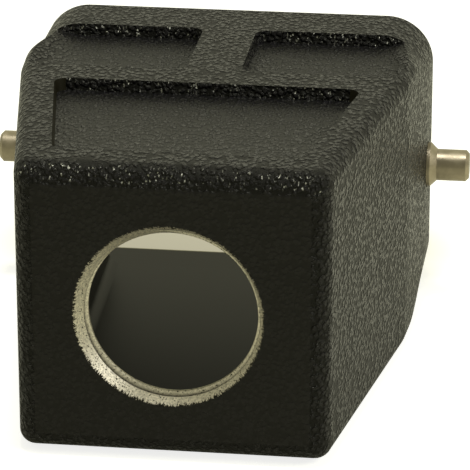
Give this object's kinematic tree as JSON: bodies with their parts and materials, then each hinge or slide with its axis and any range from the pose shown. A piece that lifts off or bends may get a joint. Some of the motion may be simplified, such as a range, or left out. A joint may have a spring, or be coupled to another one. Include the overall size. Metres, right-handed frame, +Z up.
{
  "type": "heavy-duty connector hood",
  "caption": "Rectangular die-cast connector hood with a straight threaded cable entry, flared sides, recessed wide faces, an open mating end and two locking pegs.",
  "frame": {"origin": "middle of the footprint, on the surface that the hood lies on with one wide face down", "axes": "+Y from the cable end to the mating face, +X across the pegs, +Z up across the two wide faces"},
  "size_m": [0.0726, 0.072, 0.043],
  "materials": {
    "hood_coat": "fine wrinkled powder coat, satin",
    "peg_steel": "turned steel, lightly dulled"
  },
  "bodies": {
    "root": {"hood_shell": "hood_coat", "peg_left": "peg_steel", "peg_right": "peg_steel"}
  },
  "joints": []
}
